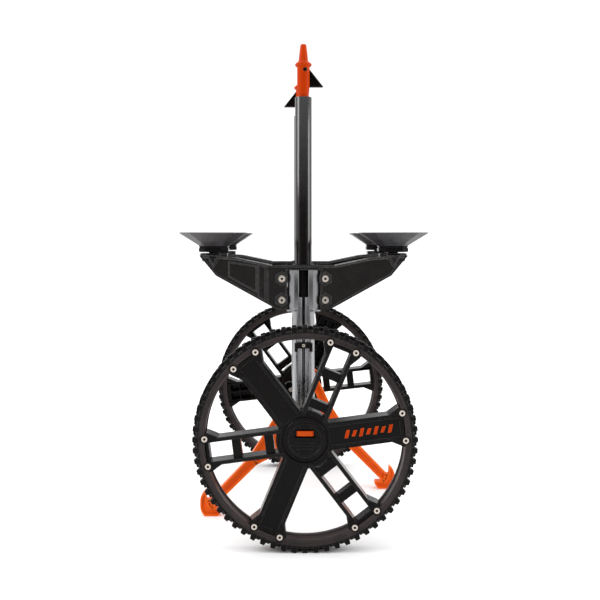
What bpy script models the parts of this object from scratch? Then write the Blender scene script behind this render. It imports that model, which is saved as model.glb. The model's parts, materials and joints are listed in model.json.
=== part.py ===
"""Kayak scupper cart: two wheels, two uprights with barbed posts, hull supports and kickstands.

Lengths are metres. X is the direction of travel, Y runs along the axles and Z is up.
Every piece is drawn on the right side, at -Y. The left side is the right side turned half
a turn about Z.
"""

from math import cos, pi, radians, sin, tan

import bmesh
import bpy
from mathutils import Matrix, Vector

GAP = 0.0003
SLIDE_GAP = 0.0004
CUT_MARGIN = 0.01
SHARP_ANGLE = radians(35)

# Wheel
WHEEL_RADIUS = 0.195
WHEEL_OUTER = -0.300
WHEEL_INNER = -0.256
WHEEL_CENTRE = Vector((0, (WHEEL_OUTER + WHEEL_INNER) / 2, WHEEL_RADIUS))
WHEEL_STEPS = 72
TYRE_INNER_RADIUS = 0.1852
TYRE_SHOULDER = 0.0035
TYRE_CROWN = 0.0025
RIM_OUTER_RADIUS = 0.1845
RIM_INNER_RADIUS = 0.1735
RIM_INSET = 0.0015
SPOKE_COUNT = 6
SPOKE_TURN = radians(7.5)
LEFT_WHEEL_TURN = radians(14)
SPOKE_HALF_WIDTH = 0.0235
SPOKE_END_RADIUS = 0.1729
SPOKE_FRONT = -0.2975
SPOKE_BACK = -0.2625
EAR_START = 0.150
EAR_HALF_DEGREES = 11.5
LADDER_HALF_WIDTH = 0.01625
LADDER_HOLES = ((0.0455, 0.0543), (0.0698, 0.1113), (0.1268, 0.1660))
HUB_STEPS = 32
HUB_RECESS_RADIUS = 0.0385
HUB_RADIUS = 0.0405
HUB_FRONT = -0.2917
HUB_BACK = -0.2500
BORE_RADIUS = 0.0161
CAP_RADIUS = 0.0380
BUTTON_WIDTH = 0.029
BUTTON_HEIGHT = 0.009
BUTTON_RISE = 0.011
BUTTON_BACK = -0.2950

# Axle and the foot of the upright
AXLE_RADIUS = 0.0125
AXLE_COLLAR_RADIUS = 0.019
AXLE_COLLAR_WIDTH = 0.006
AXLE_END_GAP = 0.001
BUSH_BACK = -0.2520
BUSH_INNER_RADIUS = 0.0130
BUSH_OUTER_RADIUS = 0.0155
ROUND_STEPS = 20
POST_Y = -0.128
CARRIER_HALF_X = 0.029
CARRIER_HALF_Y = 0.027
CARRIER_BOTTOM = 0.160
CARRIER_TOP = 0.215
LUG_TOP = 0.263
LUG_MIDDLE = (-0.0075, 0.2335)
LUG_HALF_WIDTH = 0.0285
LUG_CORNER = 0.008
LUG_INNER = -0.1012
LUG_OUTER = -0.1062

# Column, post and cap
COLUMN_HALF = 0.02125
COLUMN_CORNER = 0.006
COLUMN_BOTTOM = 0.1605
COLUMN_TOP = 0.431
COLUMN_BORE = 0.0170
COLUMN_GROOVES = ((-0.0105, -0.0080, 0.002), (-0.0020, 0.0020, 0.003), (0.0080, 0.0105, 0.002))
STOP_HALF_WIDTH = 0.017
STOP_LEG_INSIDE = 0.0108
STOP_TOP = 0.345
STOP_BAR_BOTTOM = 0.335
STOP_BOTTOM = 0.328
STOP_DEPTH = 0.007
POST_RADIUS = 0.016
POST_INNER_RADIUS = 0.0135
POST_BOTTOM = 0.262
POST_TOP = 0.813
POST_STEPS = 24
CAP_PROFILE = (
    (0.0125, 0.7950),
    (0.0125, 0.8127),
    (0.0108, 0.8165),
    (0.01225, 0.8330),
    (0.01225, 0.8710),
    (0.0158, 0.8740),
    (0.0158, 0.8770),
    (0.0086, 0.8830),
    (0.0080, 0.8900),
    (0.0055, 0.9120),
    (0.0042, 0.9150),
)
FIN_PIVOT = Vector((0.003, POST_Y, 0.865))
FIN_HALF_THICKNESS = 0.0028
FIN_ROOT_RADIUS = 0.0062
FIN_BLADE = ((0.0040, 0.8320), (0.0372, 0.8320), (0.0380, 0.8332), (0.0112, 0.8672))
FIN_PIN_RADIUS = 0.0036
FIN_PIN_HALF_LENGTH = 0.0118
FIN_HOLE_RADIUS = 0.0041
SLOT_BOTTOM = 0.8155
SLOT_TOP = 0.8728
SLOT_REACH = 0.03

# Hull support
SUPPORT_HALF_DEPTH = 0.026
SEAM_X = 0.069
SEAM_HALF_GAP = 0.0002
SLEEVE_HALF_X = 0.0305
SLEEVE_HALF_Y = 0.0255
SLEEVE_CORNER = 0.010
SLEEVE_SLOT_HALF = 0.00875
SLEEVE_BOTTOM = 0.404
SLEEVE_TOP = 0.4825
PLATE_INSIDE_X = 0.0312
BRIDGE_BOTTOM = 0.4833
BRIDGE_TOP = 0.491
BOTTOM_X = 0.0485
BOTTOM_Z = 0.407
WING_LOW = (0.166, 0.472)
WING_END = (0.1975, 0.510)
WING_KNEE = (0.130, 0.5055)
BRIDGE_END_X = 0.060
BUSH_RING_INNER = 0.0165
BUSH_RING_OUTER = 0.0195
BUSH_RING_TOP = 0.4908
BRIDGE_HOLE = 0.0200
BOLT_PLACES = ((-0.041, 0.466), (0.041, 0.466), (-0.041, 0.4255), (0.041, 0.4255))
BOLT_HEAD_RADIUS = 0.00675
BOLT_SHANK_RADIUS = 0.0030
BOLT_HEAD_HEIGHT = 0.0046
BOLT_INSET = 0.0004
BOLT_HOLE_RADIUS = 0.0034
BOLT_RECESS_RADIUS = 0.0078
BOLT_RECESS_DEPTH = 0.0053
BOLT_STEPS = 16
PAD_X = 0.171
SOCKET_HALF = 0.0255
SOCKET_BOTTOM = 0.500
SOCKET_TOP = 0.514
SOCKET_HOLE_RADIUS = 0.013
SOCKET_FLOOR = 0.5105
PAD_PIVOT_Z = 0.515
PAD_BASE_LEVELS = ((0.5115, 0.010), (0.5163, 0.010), (0.5163, 0.0280), (0.5280, 0.0280))
PAD_LEVELS = ((0.5283, 0.0275), (0.5320, 0.0330), (0.5515, 0.0605), (0.5536, 0.0620))
PAD_CORNER_SHARE = 0.42

# Kickstand
LEG_PIVOT = Vector((-0.024, -0.092, 0.248))
LEG_INNER = -0.0835
LEG_OUTER = -0.1005
LEG_BOSS_RADIUS = 0.011
LEG_HOLE_RADIUS = 0.0045
LEG_PIN_RADIUS = 0.0040
LEG_PIN_HEAD_RADIUS = 0.0070
LEG_PIN_END = -0.0800
LEG_UPPER_EDGE = ((-0.0365, 0.2360), (-0.0595, 0.1866), (-0.1058, 0.1136), (-0.1839, 0.0327))
LEG_FOOT = (
    (-0.1884, 0.0320),
    (-0.1891, 0.0503),
    (-0.1965, 0.0435),
    (-0.2009, 0.0360),
    (-0.2009, 0.0190),
    (-0.1980, 0.0080),
    (-0.1915, 0.0000),
    (-0.1665, 0.0000),
    (-0.1577, 0.0120),
    (-0.1590, 0.0170),
    (-0.1760, 0.0177),
)
LEG_LOWER_EDGE = ((-0.0908, 0.1001), (-0.0475, 0.1224), (-0.0400, 0.1360), (-0.0390, 0.1640))
LEG_INSIDE_EDGE = ((-0.0350, 0.1950), (-0.0142, 0.2427))

# Crossbar
CROSSBAR_HALF = 0.019
CROSSBAR_INSIDE = 0.0165
CROSSBAR_INNER_HALF = 0.0161
CROSSBAR_INNER_INSIDE = 0.013
CROSSBAR_COLLAR_HALF = 0.0215
CROSSBAR_OUTER_END = 0.040
CROSSBAR_COLLAR_END = 0.058
CROSSBAR_INNER_END = -0.060
CROSSBAR_FACE = -0.1007


def circle(centre, radius, steps):
    """Points of a circle, the first straight to the right."""
    turns = [2 * pi * step / steps for step in range(steps)]
    return [(centre[0] + radius * cos(turn), centre[1] + radius * sin(turn)) for turn in turns]


def arc(centre, radius, first, last, steps):
    """Points of an arc between two angles in degrees."""
    turns = [radians(first + (last - first) * step / steps) for step in range(steps + 1)]
    return [(centre[0] + radius * cos(turn), centre[1] + radius * sin(turn)) for turn in turns]


def rectangle(low, high):
    """Corners of a rectangle."""
    return [(low[0], low[1]), (high[0], low[1]), (high[0], high[1]), (low[0], high[1])]


def rounded_rectangle(centre, half_x, half_y, radius, steps=3):
    """Outline of a rectangle with round corners, anticlockwise from the lower right."""
    corners = ((1, -1, -90), (1, 1, 0), (-1, 1, 90), (-1, -1, 180))
    points = []
    for right, up, start in corners:
        middle = (centre[0] + right * (half_x - radius), centre[1] + up * (half_y - radius))
        points += arc(middle, radius, start, start + 90, steps)
    return points


def octagon(half, share=PAD_CORNER_SHARE):
    """Square outline with its corners cut off."""
    cut = half * share
    points = []
    for number in range(4):
        quarter = Matrix.Rotation(number * pi / 2, 2)
        points += [quarter @ Vector((half, cut - half)), quarter @ Vector((half, half - cut))]
    return [tuple(point) for point in points]


def finished(builder):
    """Mesh from a bmesh, with its faces turned outwards."""
    bmesh.ops.recalc_face_normals(builder, faces=builder.faces[:])
    mesh = bpy.data.meshes.new("piece")
    builder.to_mesh(mesh)
    builder.free()
    return mesh


def upright_plate(loops, low, high):
    """Solid between two values of Y: the first loop is its outline in X and Z, others are holes."""
    return plate(loops, low, high, lambda point, height: (point[0], height, point[1]))


def level_plate(loops, low, high):
    """Solid between two heights: the first loop is its outline in X and Y, others are holes."""
    return plate(loops, low, high, lambda point, height: (point[0], point[1], height))


def plate(loops, low, high, to_space):
    """Solid swept between two parallel planes."""
    builder = bmesh.new()
    edges = []
    for loop in loops:
        verts = [builder.verts.new(to_space(point, low)) for point in loop]
        edges += [builder.edges.new(pair) for pair in zip(verts, verts[1:] + verts[:1])]
    bmesh.ops.triangle_fill(builder, use_beauty=True, use_dissolve=False, edges=edges)
    swept = bmesh.ops.extrude_face_region(builder, geom=builder.faces[:], use_keep_orig=True)
    moved = [item for item in swept["geom"] if isinstance(item, bmesh.types.BMVert)]
    sweep = Vector(to_space((0, 0), high)) - Vector(to_space((0, 0), low))
    bmesh.ops.translate(builder, verts=moved, vec=sweep)
    return finished(builder)


def loft(loops):
    """Solid through closed loops of the same number of points, with flat ends."""
    builder = bmesh.new()
    rings = [[builder.verts.new(point) for point in loop] for loop in loops]
    for lower, upper in zip(rings, rings[1:]):
        sides = zip(lower, lower[1:] + lower[:1], upper[1:] + upper[:1], upper)
        for corners in sides:
            builder.faces.new(corners)
    builder.faces.new(rings[0])
    builder.faces.new(rings[-1])
    return finished(builder)


def turned(profile, steps, to_space):
    """Solid of revolution whose profile of radius and height has flat ends on the axis."""
    turns = [2 * pi * step / steps for step in range(steps)]
    return loft([[to_space(radius, height, turn) for turn in turns] for radius, height in profile])


def turned_ring(profile, steps, to_space):
    """Ring whose closed profile of radius and height stays clear of the axis."""
    builder = bmesh.new()
    rings = []
    for radius, height in profile:
        turns = [2 * pi * step / steps for step in range(steps)]
        rings.append([builder.verts.new(to_space(radius, height, turn)) for turn in turns])
    for lower, upper in zip(rings, rings[1:] + rings[:1]):
        for corners in zip(lower, lower[1:] + lower[:1], upper[1:] + upper[:1], upper):
            builder.faces.new(corners)
    return finished(builder)


def about_y(x, z):
    """Placer of turned points around an axis along Y."""
    return lambda radius, height, turn: (x + radius * cos(turn), height, z + radius * sin(turn))


def about_z(x, y):
    """Placer of turned points around an upright axis."""
    return lambda radius, height, turn: (x + radius * cos(turn), y + radius * sin(turn), height)


def ring_profile(inner, outer, low, high):
    """Closed profile of a plain ring."""
    return [(inner, low), (outer, low), (outer, high), (inner, high)]


def box(low, high):
    """Block between two corners."""
    return level_plate([rectangle(low[:2], high[:2])], low[2], high[2])


def combined(operation, base, *others):
    """Base mesh with the other meshes joined to it (UNION) or cut out of it (DIFFERENCE)."""
    scene_objects = bpy.context.scene.collection.objects
    work = bpy.data.objects.new("work", base)
    scene_objects.link(work)
    tools = []
    for mesh in others:
        tool = bpy.data.objects.new("tool", mesh)
        scene_objects.link(tool)
        tools.append(tool)
        modifier = work.modifiers.new("combine", "BOOLEAN")
        modifier.operation = operation
        modifier.solver = "EXACT"
        modifier.object = tool
    graph = bpy.context.evaluated_depsgraph_get()
    result = bpy.data.meshes.new_from_object(work.evaluated_get(graph))
    for obj in [work, *tools]:
        bpy.data.objects.remove(obj)
    return result


def material(name, colour, roughness, metallic=0.0):
    """Principled material in one colour."""
    made = bpy.data.materials.new(name)
    made.use_nodes = True
    shader = made.node_tree.nodes["Principled BSDF"]
    shader.inputs["Base Color"].default_value = (*colour, 1)
    shader.inputs["Roughness"].default_value = roughness
    shader.inputs["Metallic"].default_value = metallic
    return made


def add_node(name, mesh, finish, location, rotation=(0, 0, 0)):
    """Object of the assembly, with a material of its own."""
    own_mesh = mesh.copy()
    own_mesh.name = name
    own_mesh.materials.append(material(name, *finish))
    own_mesh.shade_smooth()
    own_mesh.set_sharp_from_angle(angle=SHARP_ANGLE)
    obj = bpy.data.objects.new(name, own_mesh)
    obj.location = location
    obj.rotation_euler = rotation
    bpy.context.scene.collection.objects.link(obj)


def add_pair(name, mesh, finish, pivot, left_turn=0.0):
    """Right piece and its left copy, half a turn about Z away, with their origins at the pivot."""
    pivot = Vector(pivot)
    mesh.transform(Matrix.Translation(-pivot))
    add_node(f"{name}_right", mesh, finish, pivot)
    opposite = Vector((-pivot.x, -pivot.y, pivot.z))
    add_node(f"{name}_left", mesh, finish, opposite, (0, left_turn, pi))


def make_tyre():
    profile = [
        (TYRE_INNER_RADIUS, WHEEL_OUTER),
        (WHEEL_RADIUS - TYRE_CROWN, WHEEL_OUTER),
        (WHEEL_RADIUS, WHEEL_OUTER + TYRE_SHOULDER),
        (WHEEL_RADIUS, WHEEL_INNER - TYRE_SHOULDER),
        (WHEEL_RADIUS - TYRE_CROWN, WHEEL_INNER),
        (TYRE_INNER_RADIUS, WHEEL_INNER),
    ]
    return turned_ring(profile, WHEEL_STEPS, about_y(0, WHEEL_RADIUS))


def make_wheel_rim():
    low = WHEEL_OUTER + RIM_INSET
    high = WHEEL_INNER - RIM_INSET
    profile = ring_profile(RIM_INNER_RADIUS, RIM_OUTER_RADIUS, low, high)
    return turned_ring(profile, WHEEL_STEPS, about_y(0, WHEEL_RADIUS))


def spoke_points(number, points):
    """Points given along and across a spoke, placed in the wheel's X and Z."""
    turn = Matrix.Rotation(SPOKE_TURN + number * 2 * pi / SPOKE_COUNT, 2)
    return [tuple(turn @ Vector(point) + Vector((0, WHEEL_RADIUS))) for point in points]


def spoke_outline():
    """Outline of all the spokes, each ending in two ears on the rim."""
    corner = (SPOKE_HALF_WIDTH / tan(pi / SPOKE_COUNT), -SPOKE_HALF_WIDTH)
    ear_start = (EAR_START, -SPOKE_HALF_WIDTH)
    reach = arc((0, 0), SPOKE_END_RADIUS, -EAR_HALF_DEGREES, EAR_HALF_DEGREES, 6)
    ear_end = (EAR_START, SPOKE_HALF_WIDTH)
    outline = []
    for number in range(SPOKE_COUNT):
        outline += spoke_points(number, [corner, ear_start, *reach, ear_end])
    return outline


def make_wheel_spokes():
    """Three solid and three ladder spokes around a hub with a bore."""
    loops = [spoke_outline(), circle((0, WHEEL_RADIUS), HUB_RECESS_RADIUS, HUB_STEPS)]
    for number in range(1, SPOKE_COUNT, 2):
        for near, far in LADDER_HOLES:
            hole = rectangle((near, -LADDER_HALF_WIDTH), (far, LADDER_HALF_WIDTH))
            loops.append(spoke_points(number, hole))
    spokes = upright_plate(loops, SPOKE_FRONT, SPOKE_BACK)
    profile = ring_profile(BORE_RADIUS, HUB_RADIUS, HUB_FRONT, HUB_BACK)
    hub = turned_ring(profile, HUB_STEPS, about_y(0, WHEEL_RADIUS))
    return combined("UNION", spokes, hub)


def button_outline(margin=0.0):
    """Outline of the release button, or of its window with a margin."""
    half = (BUTTON_WIDTH / 2 + margin, BUTTON_HEIGHT / 2 + margin)
    middle = WHEEL_RADIUS + BUTTON_RISE
    return rectangle((-half[0], middle - half[1]), (half[0], middle + half[1]))


def make_hub_cap():
    loops = [circle((0, WHEEL_RADIUS), CAP_RADIUS, HUB_STEPS), button_outline(SLIDE_GAP)]
    return upright_plate(loops, WHEEL_OUTER, HUB_FRONT - GAP)


def make_release_button():
    return upright_plate([button_outline()], WHEEL_OUTER, BUTTON_BACK)


def make_hub_bush():
    front = HUB_FRONT + AXLE_END_GAP
    profile = ring_profile(BUSH_INNER_RADIUS, BUSH_OUTER_RADIUS, front, BUSH_BACK)
    return turned_ring(profile, ROUND_STEPS, about_y(0, WHEEL_RADIUS))


def make_axle():
    collar_start = HUB_BACK + AXLE_END_GAP
    collar_end = collar_start + AXLE_COLLAR_WIDTH
    end = POST_Y - CARRIER_HALF_Y - GAP
    profile = [
        (AXLE_RADIUS, HUB_FRONT + AXLE_END_GAP),
        (AXLE_RADIUS, collar_start),
        (AXLE_COLLAR_RADIUS, collar_start),
        (AXLE_COLLAR_RADIUS, collar_end),
        (AXLE_RADIUS, collar_end),
        (AXLE_RADIUS, end),
    ]
    return turned(profile, ROUND_STEPS, about_y(0, WHEEL_RADIUS))


def make_axle_carrier():
    """Socket around the foot of the column, with the lug that holds the kickstand pin."""
    socket = COLUMN_HALF + SLIDE_GAP
    loops = [
        rectangle(
            (-CARRIER_HALF_X, POST_Y - CARRIER_HALF_Y),
            (CARRIER_HALF_X, POST_Y + CARRIER_HALF_Y),
        ),
        rectangle((-socket, POST_Y - socket), (socket, POST_Y + socket)),
    ]
    body = level_plate(loops, CARRIER_BOTTOM, CARRIER_TOP)
    lug_half_height = LUG_TOP - LUG_MIDDLE[1]
    lug_outline = rounded_rectangle(LUG_MIDDLE, LUG_HALF_WIDTH, lug_half_height, LUG_CORNER)
    lug = upright_plate([lug_outline], LUG_OUTER, LUG_INNER)
    hole = turned(
        [(LEG_HOLE_RADIUS, LUG_OUTER - CUT_MARGIN), (LEG_HOLE_RADIUS, LUG_INNER + CUT_MARGIN)],
        BOLT_STEPS,
        about_y(LEG_PIVOT.x, LEG_PIVOT.z),
    )
    return combined("DIFFERENCE", combined("UNION", body, lug), hole)


def column_outline():
    """Square tube outline with a slot and two grooves in its outer face."""
    face = POST_Y - COLUMN_HALF
    outline = rounded_rectangle((0, POST_Y), COLUMN_HALF, COLUMN_HALF, COLUMN_CORNER)
    for start, end, depth in COLUMN_GROOVES:
        outline += [(start, face), (start, face + depth), (end, face + depth), (end, face)]
    return outline


def make_column():
    loops = [column_outline(), circle((0, POST_Y), COLUMN_BORE, POST_STEPS)]
    return level_plate(loops, COLUMN_BOTTOM, COLUMN_TOP)


def make_column_stop():
    outline = [
        (-STOP_HALF_WIDTH, STOP_BOTTOM),
        (-STOP_LEG_INSIDE, STOP_BOTTOM),
        (-STOP_LEG_INSIDE, STOP_BAR_BOTTOM),
        (STOP_LEG_INSIDE, STOP_BAR_BOTTOM),
        (STOP_LEG_INSIDE, STOP_BOTTOM),
        (STOP_HALF_WIDTH, STOP_BOTTOM),
        (STOP_HALF_WIDTH, STOP_TOP),
        (-STOP_HALF_WIDTH, STOP_TOP),
    ]
    back = POST_Y - COLUMN_HALF - GAP
    return upright_plate([outline], back - STOP_DEPTH, back)


def make_post():
    profile = ring_profile(POST_INNER_RADIUS, POST_RADIUS, POST_BOTTOM, POST_TOP)
    return turned_ring(profile, POST_STEPS, about_z(0, POST_Y))


def make_post_cap():
    """Barbed nose with a slot for the fin and a hole for the fin's pin."""
    nose = turned(CAP_PROFILE, POST_STEPS, about_z(0, POST_Y))
    half_slot = FIN_HALF_THICKNESS + SLIDE_GAP
    slot = box(
        (-SLOT_REACH, POST_Y - half_slot, SLOT_BOTTOM),
        (SLOT_REACH, POST_Y + half_slot, SLOT_TOP),
    )
    hole = turned(
        [(FIN_HOLE_RADIUS, POST_Y - SLOT_REACH), (FIN_HOLE_RADIUS, POST_Y + SLOT_REACH)],
        BOLT_STEPS,
        about_y(FIN_PIVOT.x, FIN_PIVOT.z),
    )
    return combined("DIFFERENCE", nose, slot, hole)


def make_latch_fin():
    """Three-cornered fin with a round root on its pin."""
    root = (FIN_PIVOT.x, FIN_PIVOT.z)
    outline = [*FIN_BLADE, *arc(root, FIN_ROOT_RADIUS, 40, 200, 6)]
    loops = [outline, circle(root, FIN_HOLE_RADIUS, BOLT_STEPS)]
    return upright_plate(loops, POST_Y - FIN_HALF_THICKNESS, POST_Y + FIN_HALF_THICKNESS)


def make_fin_pin():
    half = FIN_PIN_HALF_LENGTH
    ends = [(FIN_PIN_RADIUS, POST_Y - half), (FIN_PIN_RADIUS, POST_Y + half)]
    return turned(ends, BOLT_STEPS, about_y(FIN_PIVOT.x, FIN_PIVOT.z))


def make_post_bush():
    profile = ring_profile(BUSH_RING_INNER, BUSH_RING_OUTER, BRIDGE_BOTTOM, BUSH_RING_TOP)
    return turned_ring(profile, POST_STEPS, about_z(0, POST_Y))


def make_support_sleeve():
    """Sleeve around the column, open along its outer face."""
    cavity = COLUMN_HALF + SLIDE_GAP
    front = POST_Y - SLEEVE_HALF_Y
    corners = rounded_rectangle((0, POST_Y), SLEEVE_HALF_X, SLEEVE_HALF_Y, SLEEVE_CORNER)
    outline = [
        *corners,
        (-SLEEVE_SLOT_HALF, front),
        (-SLEEVE_SLOT_HALF, POST_Y - cavity),
        (-cavity, POST_Y - cavity),
        (-cavity, POST_Y + cavity),
        (cavity, POST_Y + cavity),
        (cavity, POST_Y - cavity),
        (SLEEVE_SLOT_HALF, POST_Y - cavity),
        (SLEEVE_SLOT_HALF, front),
    ]
    return level_plate([outline], SLEEVE_BOTTOM, SLEEVE_TOP)


def wing_bottom_at(x):
    """Height of the sloping underside of the wing."""
    share = (x - BOTTOM_X) / (WING_LOW[0] - BOTTOM_X)
    return BOTTOM_Z + share * (WING_LOW[1] - BOTTOM_Z)


def wing_top_at(x):
    """Height of the sloping top of the wing."""
    share = (x - BRIDGE_END_X) / (WING_KNEE[0] - BRIDGE_END_X)
    return BRIDGE_TOP + share * (WING_KNEE[1] - BRIDGE_TOP)


def bracket_body(front, middle, back):
    """Plate and bridge as deep as the front half, and a wing as deep as both halves."""
    wing_start = SEAM_X + GAP
    seam_low = (wing_start, wing_bottom_at(wing_start))
    seam_high = (wing_start, wing_top_at(wing_start))
    beyond = [
        (BRIDGE_END_X, BRIDGE_TOP),
        (-BRIDGE_END_X, BRIDGE_TOP),
        (-SEAM_X, wing_top_at(SEAM_X)),
        (-SEAM_X, wing_bottom_at(SEAM_X)),
        (-BOTTOM_X, BOTTOM_Z),
        (-PLATE_INSIDE_X, BOTTOM_Z),
        (-PLATE_INSIDE_X, BRIDGE_BOTTOM),
        (PLATE_INSIDE_X, BRIDGE_BOTTOM),
        (PLATE_INSIDE_X, BOTTOM_Z),
        (BOTTOM_X, BOTTOM_Z),
    ]
    builder = bmesh.new()
    seam = [builder.verts.new((x, front, z)) for x, z in (seam_low, seam_high)]
    wing_tip = [builder.verts.new((x, front, z)) for x, z in (WING_KNEE, WING_END, WING_LOW)]
    plate_points = [builder.verts.new((x, front, z)) for x, z in beyond]
    builder.faces.new([*seam, *wing_tip])
    builder.faces.new([*seam, *plate_points])
    swept = bmesh.ops.extrude_face_region(builder, geom=builder.faces[:], use_keep_orig=True)
    moved = [item for item in swept["geom"] if isinstance(item, bmesh.types.BMVert)]
    bmesh.ops.translate(builder, verts=moved, vec=(0, middle - front, 0))
    faces = [item for item in swept["geom"] if isinstance(item, bmesh.types.BMFace)]
    wing = [face for face in faces if face.calc_center_median().x > wing_start]
    swept = bmesh.ops.extrude_face_region(builder, geom=wing)
    moved = [item for item in swept["geom"] if isinstance(item, bmesh.types.BMVert)]
    bmesh.ops.translate(builder, verts=moved, vec=(0, back - middle, 0))
    bmesh.ops.delete(builder, geom=wing, context="FACES_ONLY")
    return finished(builder)


def make_bracket():
    """Moulding with a wing at +X, a bridge past the post and a plate beyond it."""
    front = POST_Y - SUPPORT_HALF_DEPTH
    back = POST_Y + SUPPORT_HALF_DEPTH
    middle = POST_Y - SEAM_HALF_GAP
    socket = level_plate([placed(octagon(SOCKET_HALF))], SOCKET_BOTTOM, SOCKET_TOP)
    solid = combined("UNION", bracket_body(front, middle, back), socket)
    cutters = [
        turned(
            [(SOCKET_HOLE_RADIUS, SOCKET_FLOOR), (SOCKET_HOLE_RADIUS, SOCKET_TOP + CUT_MARGIN)],
            BOLT_STEPS,
            about_z(PAD_X, POST_Y),
        ),
        turned(
            [(BRIDGE_HOLE, BRIDGE_BOTTOM - CUT_MARGIN), (BRIDGE_HOLE, BRIDGE_TOP + CUT_MARGIN)],
            POST_STEPS,
            about_z(0, POST_Y),
        ),
    ]
    for x, z in BOLT_PLACES:
        profile = [
            (BOLT_RECESS_RADIUS, front - CUT_MARGIN),
            (BOLT_RECESS_RADIUS, front + BOLT_RECESS_DEPTH),
            (BOLT_HOLE_RADIUS, front + BOLT_RECESS_DEPTH),
            (BOLT_HOLE_RADIUS, middle + CUT_MARGIN),
        ]
        cutters.append(turned(profile, BOLT_STEPS, about_y(x, z)))
    return combined("DIFFERENCE", solid, *cutters)


def placed(points):
    """Points of an outline moved to the right side's front pad."""
    return [(x + PAD_X, y + POST_Y) for x, y in points]


def make_clamp_bolt(x, z):
    """Bolt whose head and nut sit in the recesses of the two bracket mouldings."""
    head = POST_Y - SUPPORT_HALF_DEPTH + BOLT_INSET
    nut = POST_Y + SUPPORT_HALF_DEPTH - BOLT_INSET
    profile = [
        (BOLT_HEAD_RADIUS, head),
        (BOLT_HEAD_RADIUS, head + BOLT_HEAD_HEIGHT),
        (BOLT_SHANK_RADIUS, head + BOLT_HEAD_HEIGHT),
        (BOLT_SHANK_RADIUS, nut - BOLT_HEAD_HEIGHT),
        (BOLT_HEAD_RADIUS, nut - BOLT_HEAD_HEIGHT),
        (BOLT_HEAD_RADIUS, nut),
    ]
    return turned(profile, BOLT_STEPS, about_y(x, z))


def make_pad_piece(levels):
    """Piece through square levels with cut corners, drawn about the pad's pivot."""
    return loft([[(x, y, z - PAD_PIVOT_Z) for x, y in octagon(half)] for z, half in levels])


def make_kickstand_leg():
    """Bent leg with a pivot boss above and an anchor-shaped foot below."""
    boss = (LEG_PIVOT.x, LEG_PIVOT.z)
    outline = arc(boss, LEG_BOSS_RADIUS, -30, 190, 8)
    outline += [*LEG_UPPER_EDGE, *LEG_FOOT, *LEG_LOWER_EDGE, *LEG_INSIDE_EDGE]
    loops = [outline, circle(boss, LEG_HOLE_RADIUS, BOLT_STEPS)]
    return upright_plate(loops, LEG_OUTER, LEG_INNER)


def make_kickstand_pin():
    profile = [
        (LEG_PIN_RADIUS, LUG_OUTER),
        (LEG_PIN_RADIUS, LEG_INNER + GAP),
        (LEG_PIN_HEAD_RADIUS, LEG_INNER + GAP),
        (LEG_PIN_HEAD_RADIUS, LEG_PIN_END),
    ]
    return turned(profile, BOLT_STEPS, about_y(LEG_PIVOT.x, LEG_PIVOT.z))


def make_square_tube(half, inside, low, high):
    """Square tube along Y around the axle line."""
    centre = Vector((0, WHEEL_RADIUS))
    loops = []
    for size in (half, inside):
        corner = Vector((size, size))
        loops.append(rectangle(centre - corner, centre + corner))
    return upright_plate(loops, low, high)


BLACK_PLASTIC = ((0.012, 0.011, 0.010), 0.42)
RIM_PLASTIC = ((0.022, 0.018, 0.017), 0.45)
TYRE_RUBBER = ((0.016, 0.014, 0.014), 0.80)
PAD_RUBBER = ((0.060, 0.056, 0.064), 0.70)
ORANGE_PLASTIC = ((0.610, 0.070, 0.010), 0.45)
ALUMINIUM = ((0.300, 0.300, 0.310), 0.35, 0.9)
DARK_ALUMINIUM = ((0.070, 0.072, 0.078), 0.30, 0.8)
STEEL = ((0.450, 0.400, 0.350), 0.35, 0.9)
BUSH_PLASTIC = ((0.600, 0.580, 0.520), 0.50)


def add_wheels():
    pieces = (
        ("tyre", make_tyre(), TYRE_RUBBER),
        ("wheel_rim", make_wheel_rim(), RIM_PLASTIC),
        ("wheel_spokes", make_wheel_spokes(), BLACK_PLASTIC),
        ("hub_bush", make_hub_bush(), BUSH_PLASTIC),
    )
    for name, mesh, finish in pieces:
        add_pair(name, mesh, finish, WHEEL_CENTRE, LEFT_WHEEL_TURN)
    add_pair("hub_cap", make_hub_cap(), BLACK_PLASTIC, WHEEL_CENTRE)
    button_place = (0, WHEEL_OUTER, WHEEL_RADIUS + BUTTON_RISE)
    add_pair("release_button", make_release_button(), ORANGE_PLASTIC, button_place)


def add_uprights():
    foot = (0, POST_Y, CARRIER_BOTTOM)
    add_pair("axle", make_axle(), STEEL, WHEEL_CENTRE)
    add_pair("axle_carrier", make_axle_carrier(), BLACK_PLASTIC, foot)
    add_pair("column", make_column(), ALUMINIUM, (0, POST_Y, COLUMN_BOTTOM))
    add_pair("column_stop", make_column_stop(), BLACK_PLASTIC, (0, POST_Y, STOP_TOP))
    add_pair("post", make_post(), DARK_ALUMINIUM, (0, POST_Y, POST_BOTTOM))
    add_pair("post_cap", make_post_cap(), ORANGE_PLASTIC, (0, POST_Y, POST_TOP))
    add_pair("latch_fin", make_latch_fin(), BLACK_PLASTIC, FIN_PIVOT)
    add_pair("fin_pin", make_fin_pin(), STEEL, FIN_PIVOT)


def add_hull_supports():
    base = Vector((0, POST_Y, SLEEVE_BOTTOM))
    add_pair("post_bush", make_post_bush(), BLACK_PLASTIC, base)
    add_pair("support_sleeve", make_support_sleeve(), ALUMINIUM, base)
    bracket = make_bracket()
    bracket.transform(Matrix.Translation(-base))
    opposite = Vector((0, -POST_Y, SLEEVE_BOTTOM))
    for side, place, turn in (("right", base, 0.0), ("left", opposite, pi)):
        add_node(f"bracket_outer_{side}", bracket, BLACK_PLASTIC, place, (0, 0, turn))
        add_node(f"bracket_inner_{side}", bracket, BLACK_PLASTIC, place, (0, 0, turn + pi))
    for number, (x, z) in enumerate(BOLT_PLACES, 1):
        add_pair(f"clamp_bolt_{number}", make_clamp_bolt(x, z), STEEL, (x, POST_Y, z))


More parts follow.
